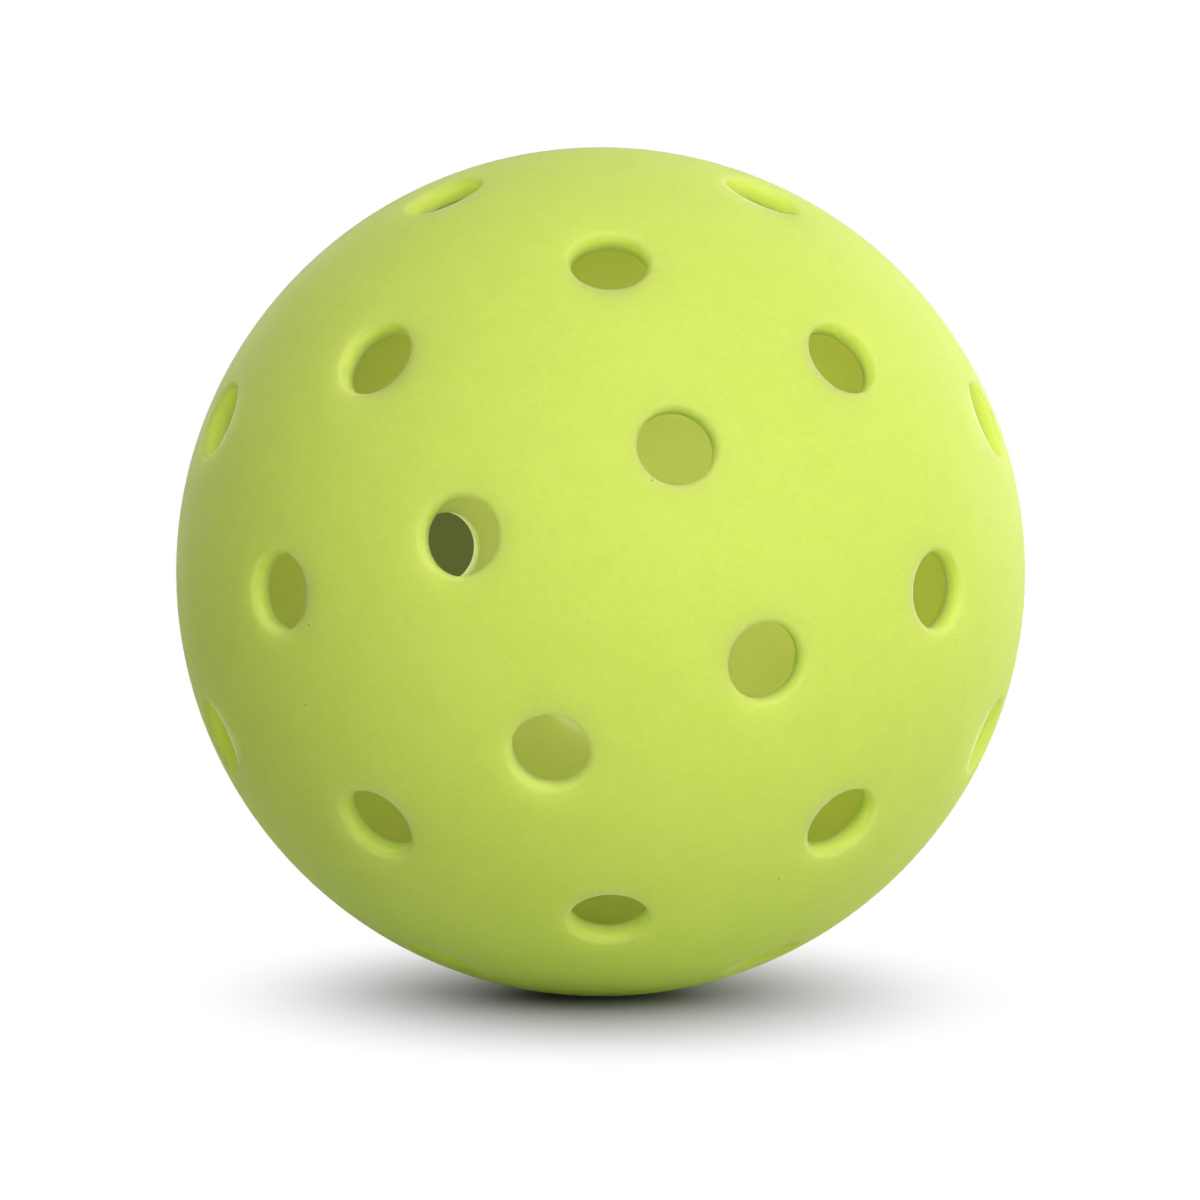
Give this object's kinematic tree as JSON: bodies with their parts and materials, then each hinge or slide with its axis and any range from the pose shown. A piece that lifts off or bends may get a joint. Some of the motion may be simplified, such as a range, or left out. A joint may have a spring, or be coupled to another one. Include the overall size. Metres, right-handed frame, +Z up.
{
  "type": "pickleball",
  "caption": "Hollow perforated ball of yellow-green plastic: half shells with rings of round-lipped holes, lapped and welded at the seam, for paddle play.",
  "frame": {"origin": "centre of the ball", "axes": "+Z up; Y along the axis of the hole pattern, with the front half on the -Y side; the seam lies in the XZ plane"},
  "size_m": [0.074, 0.074, 0.074],
  "materials": {
    "shell": "fine matt moulded texture, slightly translucent polyethylene",
    "weld": "remelted polyethylene, smooth"
  },
  "bodies": {
    "root": {"front_half_shell": "shell", "rear_half_shell": "shell", "weld_bead": "weld"}
  },
  "joints": []
}
